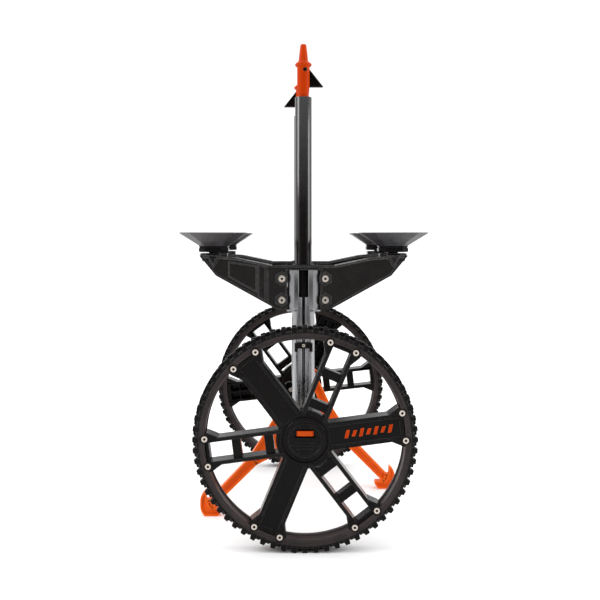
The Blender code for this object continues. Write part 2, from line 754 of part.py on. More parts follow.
def add_pads():
    pad = make_pad_piece(PAD_LEVELS)
    base = make_pad_piece(PAD_BASE_LEVELS)
    for end, x in (("front", PAD_X), ("rear", -PAD_X)):
        for side, y in (("right", POST_Y), ("left", -POST_Y)):
            place = (x, y, PAD_PIVOT_Z)
            add_node(f"pad_{end}_{side}", pad, PAD_RUBBER, place)
            add_node(f"pad_base_{end}_{side}", base, BLACK_PLASTIC, place)


def add_kickstands():
    add_pair("kickstand_leg", make_kickstand_leg(), ORANGE_PLASTIC, LEG_PIVOT)
    add_pair("kickstand_pin", make_kickstand_pin(), STEEL, LEG_PIVOT)


def add_crossbar():
    """Telescoping bar between the two axle carriers, with the collar that clamps it."""
    sizes = (
        ("crossbar_outer", CROSSBAR_HALF, CROSSBAR_INSIDE, CROSSBAR_FACE, CROSSBAR_OUTER_END),
        (
            "crossbar_inner",
            CROSSBAR_INNER_HALF,
            CROSSBAR_INNER_INSIDE,
            CROSSBAR_INNER_END,
            -CROSSBAR_FACE,
        ),
        (
            "crossbar_collar",
            CROSSBAR_COLLAR_HALF,
            CROSSBAR_INSIDE,
            CROSSBAR_OUTER_END + GAP,
            CROSSBAR_COLLAR_END,
        ),
    )
    for name, half, inside, low, high in sizes:
        finish = BLACK_PLASTIC if name == "crossbar_collar" else ALUMINIUM
        mesh = make_square_tube(half, inside, low, high)
        start = Vector((0, low, WHEEL_RADIUS))
        mesh.transform(Matrix.Translation(-start))
        add_node(name, mesh, finish, start)


def main():
    for obj in list(bpy.data.objects):
        bpy.data.objects.remove(obj)
    add_wheels()
    add_uprights()
    add_hull_supports()
    add_pads()
    add_kickstands()
    add_crossbar()


main()
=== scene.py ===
import json
from math import cos, pi, radians, sin

import bmesh
import bpy
from mathutils import Matrix, Vector
from mathutils.geometry import convex_hull_2d

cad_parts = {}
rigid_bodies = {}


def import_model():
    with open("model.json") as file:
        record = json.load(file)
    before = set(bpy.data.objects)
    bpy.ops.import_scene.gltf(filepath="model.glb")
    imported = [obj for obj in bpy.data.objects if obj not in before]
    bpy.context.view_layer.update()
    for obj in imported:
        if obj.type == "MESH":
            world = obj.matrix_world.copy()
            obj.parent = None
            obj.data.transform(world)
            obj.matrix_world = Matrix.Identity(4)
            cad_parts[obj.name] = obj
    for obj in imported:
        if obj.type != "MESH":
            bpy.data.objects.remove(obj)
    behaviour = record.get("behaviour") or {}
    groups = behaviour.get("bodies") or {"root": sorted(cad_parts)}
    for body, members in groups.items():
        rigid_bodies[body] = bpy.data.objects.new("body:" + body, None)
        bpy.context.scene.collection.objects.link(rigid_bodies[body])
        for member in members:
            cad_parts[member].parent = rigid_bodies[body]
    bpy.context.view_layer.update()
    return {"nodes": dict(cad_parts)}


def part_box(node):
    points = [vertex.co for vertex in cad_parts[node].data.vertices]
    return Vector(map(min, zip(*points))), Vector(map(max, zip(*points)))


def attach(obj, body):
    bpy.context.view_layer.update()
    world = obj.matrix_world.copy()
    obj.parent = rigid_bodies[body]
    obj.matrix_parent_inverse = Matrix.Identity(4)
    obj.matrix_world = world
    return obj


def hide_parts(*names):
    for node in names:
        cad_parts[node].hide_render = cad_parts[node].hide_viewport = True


# Everything is in metres. Pieces are drawn on the right side, at -Y, and the left side is the
# right side turned half a turn about Z. Outlines are read from the photograph at the frame's
# scale, and what a neighbour sets (faces, centres, ends) comes from the frame's boxes.

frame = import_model()

# Wheel: its faces and middle, then its tyre, spokes, screws and release button.
tyre_low, tyre_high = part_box("tyre_right")
WHEEL_R = (tyre_high.z - tyre_low.z) / 2
OUTER_Y = tyre_low.y
INNER_Y = tyre_high.y
WHEEL_Y = (OUTER_Y + INNER_Y) / 2
TREAD_BLOCKS = 64
TREAD_HEIGHT = 0.0064
BEAD_R = 0.1853
RIM_SETBACK = 0.0013
SPOKES = 6
SPOKE_TURN = radians(7.5)
LEFT_WHEEL_TURN = radians(14)
SPOKE_FRONT = OUTER_Y + 0.0025
SPOKE_BACK = OUTER_Y + 0.0375
SPOKE_START = 0.0375
SPOKE_END = 0.1722
SPOKE_HALF = 0.0235
LADDER_INSIDE = 0.0165
PANEL_INSIDE = 0.0192
PANEL = (-0.0205, 0.0205)
RUNG = (-0.0195, 0.0195)
SCREW_R = 0.1737
SCREW_ANGLE = radians(7.9)
BUTTON_Z = WHEEL_R + 0.011

# Uprights, hull supports and kickstands: what the pieces share.
post_low, post_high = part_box("post_right")
POST_Y = (post_low.y + post_high.y) / 2
POST_R = (post_high.x - post_low.x) / 2
column_low, column_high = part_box("column_right")
sleeve_low, sleeve_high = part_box("support_sleeve_right")
bracket_low, bracket_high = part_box("bracket_outer_right")
pad_low, pad_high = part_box("pad_front_right")
base_low, base_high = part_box("pad_base_front_right")
PAD_X = (pad_low.x + pad_high.x) / 2
leg_low, leg_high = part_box("kickstand_leg_right")
pin_low, pin_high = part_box("kickstand_pin_right")
LEG_PIVOT = ((pin_low.x + pin_high.x) / 2, (pin_low.z + pin_high.z) / 2)
fin_low, fin_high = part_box("fin_pin_right")
FIN_PIVOT = ((fin_low.x + fin_high.x) / 2, (fin_low.z + fin_high.z) / 2)

# Cutters start this far in front of the face that they cut.
CUT_MARGIN = 0.002


# ---------------------------------------------------------------- materials


def node(tree, kind, **inputs):
    """New shader node with its inputs set by name, or linked where a socket is given."""
    made = tree.nodes.new(kind)
    for key, value in inputs.items():
        socket = made.inputs[key.replace("_", " ")]
        if isinstance(value, bpy.types.NodeSocket):
            tree.links.new(value, socket)
        else:
            socket.default_value = value
    return made


def ramp(tree, factor, stops):
    """Colour ramp through (position, colour) stops; a colour of one value is a grey."""
    made = node(tree, "ShaderNodeValToRGB", Fac=factor)
    elements = made.color_ramp.elements
    while len(elements) < len(stops):
        elements.new(0.5)
    for element, (place, colour) in zip(elements, stops):
        element.position = place
        element.color = (*colour, 1) if len(colour) == 3 else (colour[0],) * 3 + (1,)
    return made.outputs["Color"]


def noise(tree, vector, scale, detail=4.0, roughness=0.55):
    """Noise value over a vector."""
    made = node(tree, "ShaderNodeTexNoise", Vector=vector, Scale=scale, Detail=detail)
    made.inputs["Roughness"].default_value = roughness
    return made.outputs["Fac"]


def stretched(tree, scale):
    """Object coordinates stretched by a scale, for grain that runs one way."""
    place = node(tree, "ShaderNodeTexCoord").outputs["Object"]
    made = node(tree, "ShaderNodeMapping", Vector=place, Scale=scale)
    return made.outputs["Vector"]


def bump(tree, height, strength, distance, below=None):
    """Relief from a height, laid over the relief below it."""
    made = node(tree, "ShaderNodeBump", Height=height, Strength=strength, Distance=distance)
    if below is not None:
        tree.links.new(below, made.inputs["Normal"])
    return made.outputs["Normal"]


def new_material(name):
    """New material, its node tree and its shader."""
    made = bpy.data.materials.new(name)
    made.use_nodes = True
    return made, made.node_tree, made.node_tree.nodes["Principled BSDF"]


def link(tree, shader, **sockets):
    """Links each given output to the shader's socket of that name."""
    for key, value in sockets.items():
        tree.links.new(value, shader.inputs[key.replace("_", " ")])


def edge_highlight_mask(tree, width):
    """Mask of the corners of a piece, where a lighter colour is painted on as a highlight."""
    soft = tree.nodes.new("ShaderNodeBevel")
    soft.samples = 4
    soft.inputs["Radius"].default_value = width
    flat = node(tree, "ShaderNodeNewGeometry").outputs["Normal"]
    match = tree.nodes.new("ShaderNodeVectorMath")
    match.operation = "DOT_PRODUCT"
    tree.links.new(soft.outputs["Normal"], match.inputs[0])
    tree.links.new(flat, match.inputs[1])
    # The cosine between the two normals drops below one only beside a corner.
    return ramp(tree, match.outputs["Value"], ((0.80, (1.0,)), (0.985, (0.0,))))


def blended(tree, mask, colour, over):
    """Colour with another laid over it where the mask is white."""
    mixed = tree.nodes.new("ShaderNodeMix")
    mixed.data_type = "RGBA"
    tree.links.new(mask, mixed.inputs[0])
    tree.links.new(colour, mixed.inputs[6])
    mixed.inputs[7].default_value = (*over, 1)
    return mixed.outputs[2]


def moulded(name, dark, light, rough, grain=1400, grain_strength=0.25, specular=0.5, dust=None,
            edge=None, edge_highlight_width=0.0011):
    """Moulded plastic or rubber: cloudy colour, fine grain, uneven gloss, dust and painted edge
    highlights.
    """
    made, tree, shader = new_material(name)
    place = node(tree, "ShaderNodeTexCoord").outputs["Object"]
    cloud = noise(tree, place, 38, 5)
    fine = noise(tree, place, grain, 3)
    scuff = noise(tree, stretched(tree, (60, 60, 260)), 3.2, 8, 0.7)
    colour = ramp(tree, cloud, ((0.30, dark), (0.72, light)))
    if dust:
        spots = ramp(tree, scuff, ((0.58, (0, 0, 0)), (0.78, (0.45, 0.45, 0.45))))
        colour = blended(tree, spots, colour, dust)
    # Painted highlight: the edge colour is laid on every corner in place of the light that the
    # corners catch.
    if edge:
        colour = blended(tree, edge_highlight_mask(tree, edge_highlight_width), colour, edge)
    gloss = ramp(tree, scuff, ((0.25, (rough - 0.07,)), (0.75, (rough + 0.10,))))
    relief = bump(tree, fine, grain_strength, 0.0002)
    relief = bump(tree, cloud, 0.10, 0.0008, relief)
    link(tree, shader, Base_Color=colour, Roughness=gloss, Normal=relief)
    shader.inputs["Specular IOR Level"].default_value = specular
    return made


def metal(name, dark, light, rough, grain_scale, specks=0.0, metallic=1.0):
    """Drawn or turned metal: long grain lines, uneven gloss and fine specks."""
    made, tree, shader = new_material(name)
    lines = noise(tree, stretched(tree, grain_scale), 1.0, 6, 0.65)
    place = node(tree, "ShaderNodeTexCoord").outputs["Object"]
    cloud = noise(tree, place, 22, 4)
    fine = noise(tree, place, 1700, 2)
    colour = ramp(tree, lines, ((0.25, dark), (0.75, light)))
    gloss = ramp(tree, cloud, ((0.25, (rough - 0.03,)), (0.8, (rough + 0.06,))))
    relief = bump(tree, lines, 0.05, 0.0001)
    relief = bump(tree, fine, specks, 0.0001, relief)
    link(tree, shader, Base_Color=colour, Roughness=gloss, Normal=relief)
    shader.inputs["Metallic"].default_value = metallic
    return made


# The edge colour of each look is a painted highlight on its corners.
MATERIALS = {
    "black_plastic": moulded(
        "black_plastic_m", (0.0018, 0.0014, 0.0013), (0.0042, 0.0034, 0.0031), rough=0.22,
        grain_strength=0.18, specular=0.09, edge=(0.060, 0.056, 0.056),
    ),
    "bracket_plastic": moulded(
        "bracket_plastic_m", (0.0035, 0.0027, 0.0024), (0.0100, 0.0078, 0.0068), rough=0.24,
        grain_strength=0.3, specular=0.20, edge=(0.17, 0.165, 0.165), edge_highlight_width=0.0014,
    ),
    "rim_plastic": moulded(
        "rim_plastic_m", (0.012, 0.008, 0.008), (0.032, 0.021, 0.020), rough=0.36, grain=1100,
        specular=0.28, edge=(0.075, 0.060, 0.058),
    ),
    "tyre_rubber": moulded(
        "tyre_rubber_m", (0.0022, 0.0018, 0.0018), (0.0065, 0.0055, 0.0053), rough=0.44,
        grain=900, grain_strength=0.5, specular=0.10, dust=(0.026, 0.022, 0.020),
        edge=(0.085, 0.082, 0.082),
    ),
    "pad_rubber": moulded(
        "pad_rubber_m", (0.016, 0.014, 0.017), (0.036, 0.033, 0.037), rough=0.42, grain=700,
        grain_strength=0.5, specular=0.62, edge=(0.16, 0.155, 0.165), edge_highlight_width=0.0016,
    ),
    "orange_plastic": moulded(
        "orange_plastic_m", (0.42, 0.031, 0.0006), (0.54, 0.044, 0.0010), rough=0.34,
        grain=1300, specular=0.06, edge=(0.78, 0.16, 0.02),
    ),
    # Painted light: the legs' orange is made lighter than the cap's to make up for the shade
    # behind the wheels.
    "shade_lifted_leg_plastic": moulded(
        "shade_lifted_leg_plastic_m", (0.82, 0.105, 0.004), (0.96, 0.145, 0.007), rough=0.34, grain=1300,
        specular=0.12, edge=(1.0, 0.24, 0.03), edge_highlight_width=0.0016,
    ),
    "bare_aluminium": metal(
        "bare_aluminium_m", (0.25, 0.25, 0.26), (0.37, 0.37, 0.38), rough=0.26,
        grain_scale=(900, 900, 6),
    ),
    "dark_aluminium": moulded(
        "dark_aluminium_m", (0.004, 0.003, 0.003), (0.009, 0.007, 0.007), rough=0.12, grain=600,
        grain_strength=0.03, specular=0.55, edge=(0.10, 0.10, 0.10),
    ),
    "steel": metal(
        "steel_m", (0.48, 0.42, 0.37), (0.74, 0.67, 0.60), rough=0.42,
        grain_scale=(500, 40, 500), specks=0.1, metallic=0.55,
    ),
    "bush_plastic": moulded(
        "bush_plastic_m", (0.50, 0.48, 0.42), (0.62, 0.60, 0.54), rough=0.5,
    ),
}


# ---------------------------------------------------------------- geometry

# Sunk faces stay this far from the plate's middle, and an outline moved inwards takes half a
# corner's turn as no sharper than this cosine.
CORE_HALF = 0.0005
SHARPEST = 0.35


class Shape:
    """Closed solids gathered into one mesh."""

    def __init__(self):
        self.verts = []
        self.faces = []

    def loft(self, loops, closed=False):
        """Solid through loops of equal length, capped, or bent round to its start if closed."""
        size = len(loops[0])
        first = len(self.verts)
        self.verts += [tuple(point) for loop in loops for point in loop]
        for row in range(len(loops) if closed else len(loops) - 1):
            here = first + row * size
            there = first + (row + 1) % len(loops) * size
            for step in range(size):
                after = (step + 1) % size
                self.faces.append((here + step, here + after, there + after, there + step))
        if not closed:
            last = len(self.verts)
            self.faces.append(tuple(range(first, first + size)))
            self.faces.append(tuple(range(last - size, last)))

    def upright(self, outline, low, high):
        """Plate with an outline in X and Z between two values of Y."""
        self.loft([[(x, y, z) for x, z in outline] for y in (low, high)])

    def level(self, outline, low, high):
        """Plate with an outline in X and Y between two heights."""
        self.loft([[(x, y, z) for x, y in outline] for z in (low, high)])

    def turned(self, profile, steps, place, closed=False):
        """Solid of revolution from (radius, height) points."""
        turns = [2 * pi * step / steps for step in range(steps)]
        self.loft([[place(r, h, turn) for turn in turns] for r, h in profile], closed)

    def dished(self, outline, low, high, rim, depth, slope=0.0008):
        """Upright plate whose two faces are sunk inside a rim with sloping walls."""
        inner = inset(outline, rim)
        floor = inset(outline, rim + slope)
        middle = (low + high) / 2
        front = min(low + depth, middle - CORE_HALF)
        back = max(high - depth, middle + CORE_HALF)
        rows = ((floor, front), (inner, low), (outline, low), (outline, high), (inner, high),
                (floor, back))
        self.loft([[(x, y, z) for x, z in loop] for loop, y in rows])

    def mesh(self, name):
        """Blender mesh of the solids, with their faces turned outwards."""
        made = bpy.data.meshes.new(name)
        made.from_pydata(self.verts, [], self.faces)
        builder = bmesh.new()
        builder.from_mesh(made)
        bmesh.ops.recalc_face_normals(builder, faces=builder.faces[:])
        builder.to_mesh(made)
        builder.free()
        return made


def area(outline):
    """Signed area, positive where the outline runs anticlockwise."""
    total = 0.0
    for (x0, y0), (x1, y1) in zip(outline, outline[1:] + outline[:1]):
        total += (x0 * y1 - x1 * y0) / 2
    return total


def inset(outline, distance):
    """Outline moved inwards by a distance, with long corners held back."""
    side = 1 if area(outline) > 0 else -1
    moved = []
    count = len(outline)
    for index in range(count):
        before = Vector(outline[index - 1])
        here = Vector(outline[index])
        after = Vector(outline[(index + 1) % count])
        one = (here - before).normalized()
        two = (after - here).normalized()
        inward_one = Vector((-one.y, one.x)) * side
        inward_two = Vector((-two.y, two.x)) * side
        middle = (inward_one + inward_two).normalized()
        reach = distance / max(SHARPEST, middle.dot(inward_two))
        moved.append(tuple(here + middle * reach))
    return moved


def about_y(x, z):
    """Placing of turned points about an axis along Y."""
    return lambda radius, height, turn: (x + radius * cos(turn), height, z + radius * sin(turn))


def about_z(x, y):
    """Placing of turned points about an upright axis."""
    return lambda radius, height, turn: (x + radius * cos(turn), y + radius * sin(turn), height)


def circle(centre, radius, steps, start=0.0):
    """Points of a circle, or of a regular polygon."""
    turns = [start + 2 * pi * step / steps for step in range(steps)]
    return [(centre[0] + radius * cos(turn), centre[1] + radius * sin(turn)) for turn in turns]


def arc(centre, radius, first, last, steps):
    """Points of an arc between two angles in degrees."""
    turns = [radians(first + (last - first) * step / steps) for step in range(steps + 1)]
    return [(centre[0] + radius * cos(turn), centre[1] + radius * sin(turn)) for turn in turns]


def rectangle(x0, z0, x1, z1):
    """Corners of a rectangle."""
    return [(x0, z0), (x1, z0), (x1, z1), (x0, z1)]


def rounded(x0, z0, x1, z1, radius, steps=5):
    """Rectangle with round corners."""
    points = []
    for x, z, start in (
        (x1 - radius, z0 + radius, -90), (x1 - radius, z1 - radius, 0),
        (x0 + radius, z1 - radius, 90), (x0 + radius, z0 + radius, 180),
    ):
        points += arc((x, z), radius, start, start + 90, steps)
    return points


def octagon(half, share=0.42):
    """Square with each corner cut off by a share of its half width."""
    cut = half * share
    points = []
    for quarter in range(4):
        turn = Matrix.Rotation(quarter * pi / 2, 2)
        points += [turn @ Vector((half, cut - half)), turn @ Vector((half, half - cut))]
    return [tuple(point) for point in points]


def hull(points):
    """Outline drawn tight around points."""
    return [points[index] for index in convex_hull_2d(points)]


# ---------------------------------------------------------------- pieces


def piece(name, mesh, body, nodes, slot, bevel=0.0006, segments=2, angle=32, look=None):
    """Object of the visual model, in its material, riding on its body."""
    obj = bpy.data.objects.new(name, mesh)
    bpy.context.scene.collection.objects.link(obj)
    mesh.materials.append(MATERIALS[look or slot])
    mesh.shade_smooth()
    mesh.set_sharp_from_angle(angle=radians(angle))
    if bevel:
        edge = obj.modifiers.new("edge", "BEVEL")
        edge.width = bevel
        edge.segments = segments
        edge.limit_method = "ANGLE"
        edge.angle_limit = radians(angle)
        edge.use_clamp_overlap = True
        edge.harden_normals = True
    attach(obj, body)
    if nodes:
        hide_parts(*nodes)
    return obj


def pair(name, mesh, body, nodes, slot, turn=0.0, **options):
    """Right piece and its left copy, half a turn about Z away, turned in its wheel if asked."""
    for side in ("right", "left"):
        copy = mesh.copy()
        if side == "left":
            if turn:
                hub = Matrix.Translation((0, 0, WHEEL_R))
                copy.transform(hub @ Matrix.Rotation(turn, 4, "Y") @ hub.inverted())
            copy.transform(Matrix.Rotation(pi, 4, "Z"))
        replaced = [f"{cad_name}_{side}" for cad_name in nodes]
        piece(f"{name}_{side}", copy, f"{body}_{side}", replaced, slot, **options)


def carved(mesh, cutters):
    """Mesh with cutter meshes taken out of it."""
    scene_objects = bpy.context.scene.collection.objects
    work = bpy.data.objects.new("work", mesh)
    scene_objects.link(work)
    tools = []
    for cutter in cutters:
        tool = bpy.data.objects.new("tool", cutter)
        scene_objects.link(tool)
        tools.append(tool)
        cut = work.modifiers.new("cut", "BOOLEAN")
        cut.operation = "DIFFERENCE"
        cut.solver = "EXACT"
        cut.object = tool
    graph = bpy.context.evaluated_depsgraph_get()
    result = bpy.data.meshes.new_from_object(work.evaluated_get(graph))
    for obj in [work, *tools]:
        bpy.data.objects.remove(obj)
    return result


def plate_cutter(outline, low, high):
    """Cutter with an outline in X and Z between two values of Y."""
    shape = Shape()
    shape.upright(outline, low, high)
    return shape.mesh("cutter")


def drill(radius, low, high, steps, place):
    """Round cutter between two heights along an axis."""
    shape = Shape()
    shape.turned([(radius, low), (radius, high)], steps, place)
    return shape.mesh("cutter")


# ---------------------------------------------------------------- wheel


def spoke_place(number, points):
    """Points along and across a spoke, placed in the wheel's X and Z."""
    turn = Matrix.Rotation(SPOKE_TURN + number * 2 * pi / SPOKES, 2)
    return [tuple(turn @ Vector(point) + Vector((0, WHEEL_R))) for point in points]


def bar(shape, number, along, across, low, high):
    """Straight bar of a spoke between two distances along it and two across it."""
    corners = rectangle(along[0], across[0], along[1], across[1])
    shape.upright(spoke_place(number, corners), low, high)


def build_tyre():
    """Carcass with three staggered rows of tread blocks."""
    shape = Shape()
    base = WHEEL_R - TREAD_HEIGHT
    profile = [
        (BEAD_R, OUTER_Y + 0.0006), (base - 0.0030, OUTER_Y), (base - 0.0008, OUTER_Y + 0.0008),
        (base, OUTER_Y + 0.0028), (base + 0.0004, WHEEL_Y), (base, INNER_Y - 0.0028),
        (base - 0.0008, INNER_Y - 0.0008), (base - 0.0030, INNER_Y), (BEAD_R, INNER_Y - 0.0006),
    ]
    shape.turned(profile, 144, about_y(0, WHEEL_R), closed=True)
    # Each row of blocks: its two sides, and its shift along the tyre in blocks.
    rows = ((OUTER_Y, OUTER_Y + 0.0125, 0.0), (WHEEL_Y - 0.0068, WHEEL_Y + 0.0068, 0.5),
            (INNER_Y - 0.0125, INNER_Y, 0.0))
    for low, high, shift in rows:
        for number in range(TREAD_BLOCKS):
            turn = 2 * pi * (number + shift) / TREAD_BLOCKS
            along = Vector((-sin(turn), cos(turn)))
            out = Vector((cos(turn), sin(turn)))
            loops = []
            # Each level of a block: its radius, half its length, and how far its sides lean in.
            for radius, half, trim in (
                (base - 0.0050, 0.0052, 0.0), (base + 0.0010, 0.0050, 0.0),
                (WHEEL_R - 0.0001, 0.0038, 0.0009),
            ):
                loop = []
                for step, y in ((-half, low + trim), (half, low + trim), (half, high - trim),
                                (-half, high - trim)):
                    spot = out * radius + along * step
                    loop.append((spot.x, y, spot.y + WHEEL_R))
                loops.append(loop)
            shape.loft(loops)
    return shape.mesh("tyre")


def build_rim():
    """Rim with a stepped outer face and a rib around its inner wall."""
    low = OUTER_Y + RIM_SETBACK
    high = INNER_Y - RIM_SETBACK
    profile = [
        (0.1735, low + 0.0014), (0.1743, low), (0.1766, low), (0.1773, low + 0.0012),
        (0.1818, low + 0.0012), (0.1824, low), (0.1840, low), (0.1846, low + 0.0010),
        (0.1846, high - 0.0010), (0.1840, high), (0.1824, high), (0.1818, high - 0.0012),
        (0.1773, high - 0.0012), (0.1766, high), (0.1743, high), (0.1735, high - 0.0014),
        (0.1735, WHEEL_Y + 0.0105), (0.1716, WHEEL_Y + 0.0095), (0.1716, WHEEL_Y + 0.0045),
        (0.1735, WHEEL_Y + 0.0035),
    ]
    shape = Shape()
    shape.turned(profile, 160, about_y(0, WHEEL_R), closed=True)
    return shape.mesh("rim")


def screw_place(side):
    """Middle of a screw, along and across its spoke."""
    return (SCREW_R * cos(SCREW_ANGLE), side * SCREW_R * sin(SCREW_ANGLE))


def ear(shape, number, side):
    """Flank and lug, with its screw pad, where one side of a spoke meets the rim."""
    flank = [(0.140, side * 0.018), (0.148, side * SPOKE_HALF), (0.1660, side * 0.0335)]
    flank += [(0.1700, side * 0.0345), (0.1728, side * 0.0180)]
    shape.upright(spoke_place(number, flank), SPOKE_FRONT + 0.0005, SPOKE_BACK)
    pad = circle(screw_place(side), 0.0078, 24)
    lug = hull([(0.150, side * 0.0175), (0.150, side * 0.0232), *pad])
    shape.upright(spoke_place(number, lug), OUTER_Y + 0.0007, SPOKE_FRONT + 0.009)


def build_spokes():
    """Hub barrel, three panelled spokes, three ladder spokes and their ears."""
    shape = Shape()
    front, back = SPOKE_FRONT, SPOKE_BACK
    for number in range(SPOKES):
        ladder = number % 2 == 1
        for side in (-1, 1):
            inside = LADDER_INSIDE if ladder else PANEL_INSIDE
            rail = sorted((side * inside, side * SPOKE_HALF))
            bar(shape, number, (SPOKE_START, SPOKE_END), rail, front, back)
            ear(shape, number, side)
            if ladder:
                lip = sorted((side * 0.0184, side * 0.0217))
                bar(shape, number, (0.041, 0.168), lip, front - 0.0008, front + 0.002)
            else:
                ridge = sorted((side * 0.0158, side * 0.0170))
                bar(shape, number, (0.043, 0.163), ridge, front + 0.0008, front + 0.004)
        if ladder:
            # Two rungs, then the plates that close the ladder at the hub and at the rim.
            for near, far in ((0.0543, 0.0698), (0.1113, 0.1268)):
                bar(shape, number, (near, far), RUNG, front + 0.0065, back - 0.006)
            bar(shape, number, (SPOKE_START, 0.0450), RUNG, front + 0.004, back - 0.002)
            bar(shape, number, (0.1665, SPOKE_END), RUNG, front + 0.004, back - 0.002)
        else:
            # The panel, the plate that closes it at the rim, and the ribs behind it.
            bar(shape, number, (SPOKE_START, 0.1705), PANEL, front + 0.0022, front + 0.0062)
            bar(shape, number, (0.1655, SPOKE_END), PANEL, front + 0.0004, back - 0.002)
            bar(shape, number, (0.040, 0.168), (-0.0014, 0.0014), front + 0.005, back - 0.003)
            for place in (0.066, 0.092, 0.118, 0.144):
                rib = (place - 0.0011, place + 0.0011)
                bar(shape, number, rib, PANEL, front + 0.005, back - 0.004)
    hub = [
        (0.0388, front + 0.0006), (0.0396, front - 0.0006), (0.0416, front - 0.0006),
        (0.0426, front + 0.0008), (0.0426, INNER_Y + 0.0050), (0.0418, INNER_Y + 0.0060),
        (0.0300, INNER_Y + 0.0060), (0.0290, INNER_Y + 0.0040), (0.0165, INNER_Y + 0.0040),
        (0.0165, OUTER_Y + 0.0100), (0.0388, OUTER_Y + 0.0100),
    ]
    shape.turned(hub, 96, about_y(0, WHEEL_R), closed=True)
    web = [(0.030, front + 0.003), (0.0505, front + 0.003), (0.0505, back - 0.003),
           (0.030, back - 0.003)]
    shape.turned(web, 96, about_y(0, WHEEL_R), closed=True)
    return shape.mesh("spokes")


def build_screws():
    """Socket screws in the ears."""
    shape = Shape()
    face = OUTER_Y + 0.0002
    for number in range(SPOKES):
        for side in (-1, 1):
            x, z = spoke_place(number, [screw_place(side)])[0]
            head = [
                (0.0054, face + 0.0020), (0.0054, face + 0.0007), (0.0048, face + 0.0001),
                (0.0026, face), (0.0023, face + 0.0003), (0.0021, face + 0.0016),
                (0.0002, face + 0.0017),
            ]
            shape.turned(head, 24, about_y(x, z))
    return shape.mesh("screws")


def build_hub_cap():
    """Bevelled cap with four arc slots and a window for the button, and its plain ribs."""
    shape = Shape()
    face = OUTER_Y
    profile = [
        (0.0380, face + 0.0078), (0.0380, face + 0.0022), (0.0366, face + 0.0006),
        (0.0350, face + 0.0002), (0.0336, face + 0.0006), (0.0326, face + 0.0018),
        (0.0312, face + 0.0018), (0.0302, face + 0.0006), (0.0288, face + 0.0004),
        (0.0276, face + 0.0018), (0.0010, face + 0.0018),
    ]
    shape.turned(profile, 96, about_y(0, WHEEL_R))
    cutters = []
    for quarter in range(4):
        middle = 45 + 90 * quarter
        outline = arc((0, WHEEL_R), 0.0262, middle - 21, middle + 21, 10)
        outline += arc((0, WHEEL_R), 0.0222, middle + 21, middle - 21, 10)
        cutters.append(plate_cutter(outline, face - CUT_MARGIN, face + 0.0044))
    # The window is deep enough for the button pressed in, and stands in a shallow recess.
    window = rounded(-0.0150, BUTTON_Z - 0.0050, 0.0150, BUTTON_Z + 0.0050, 0.0012, 3)
    cutters.append(plate_cutter(window, face - CUT_MARGIN, face + 0.0077))
    sunk = rounded(-0.0180, BUTTON_Z - 0.0072, 0.0180, BUTTON_Z + 0.0072, 0.0022, 4)
    cutters.append(plate_cutter(sunk, face - CUT_MARGIN, face + 0.0030))
    cap = carved(shape.mesh("hub_cap"), cutters)
    ribs = Shape()
    for row in range(3):
        height = WHEEL_R - 0.0050 - row * 0.0052
        width = 0.0175 - row * 0.0022
        outline = rounded(-width, height - 0.0010, width, height + 0.0010, 0.0008, 3)
        ribs.upright(outline, face + 0.0003, face + 0.003)
    return cap, ribs.mesh("ribs")


def build_button():
    """Release button with three grip lines."""
    shape = Shape()
    outline = rounded(-0.0143, BUTTON_Z - 0.0043, 0.0143, BUTTON_Z + 0.0043, 0.0010, 3)
    shape.upright(outline, OUTER_Y + 0.0006, OUTER_Y + 0.0050)
    for offset in (-0.0022, 0.0, 0.0022):
        height = BUTTON_Z + offset
        line = rounded(-0.0118, height - 0.0005, 0.0118, height + 0.0005, 0.0004, 2)
        shape.upright(line, OUTER_Y + 0.0001, OUTER_Y + 0.0012)
    return shape.mesh("button")


def build_marks():
    """Generic row of slanted bars inlaid on one spoke."""
    shape = Shape()
    front = SPOKE_FRONT + 0.0018
    count, start, pitch, width, lean = 7, 0.068, 0.0125, 0.0060, 0.0050
    for number in range(count):
        left = start + number * pitch
        tall = 0.0068 if number % 2 == 0 else 0.0050
        outline = [(left, -tall), (left + width, -tall), (left + width + lean, tall),
                   (left + lean, tall)]
        shape.upright(spoke_place(0, outline), front, front + 0.002)
    return shape.mesh("marks")


def make_wheels():
    """Pieces that turn with the wheel, and the release button in it."""
    options = {"turn": LEFT_WHEEL_TURN}
    pair("tyre_tread", build_tyre(), "wheel", ["tyre"], "tyre_rubber", bevel=0.0005, **options)
    pair("rim_shell", build_rim(), "wheel", ["wheel_rim"], "rim_plastic", bevel=0.0003, angle=25,
         **options)
    pair("spoke_frame", build_spokes(), "wheel", ["wheel_spokes"], "black_plastic",
         bevel=0.0010, **options)
    pair("wheel_screws", build_screws(), "wheel", [], "steel", bevel=0, **options)
    cap, ribs = build_hub_cap()
    pair("hub_cover", cap, "wheel", ["hub_cap"], "black_plastic", bevel=0.0003)
    pair("hub_ribs", ribs, "wheel", [], "black_plastic", bevel=0.0003)
    pair("button_face", build_button(), "button", ["release_button"], "orange_plastic",
         bevel=0.0003)
    pair("spoke_marks", build_marks(), "wheel", [], "orange_plastic", bevel=0.0002, **options)


# ---------------------------------------------------------------- uprights

# Bore and side windows of the column, and the tube and spring-button holes of the post.
COLUMN_BORE_R = 0.0170
WINDOW_LOW = 0.292
WINDOW_HIGH = 0.393
POST_BORE_R = 0.0131
HOLE_COUNT = 5
HOLE_FIRST = 0.520
HOLE_PITCH = 0.045
HOLE_R = 0.0038


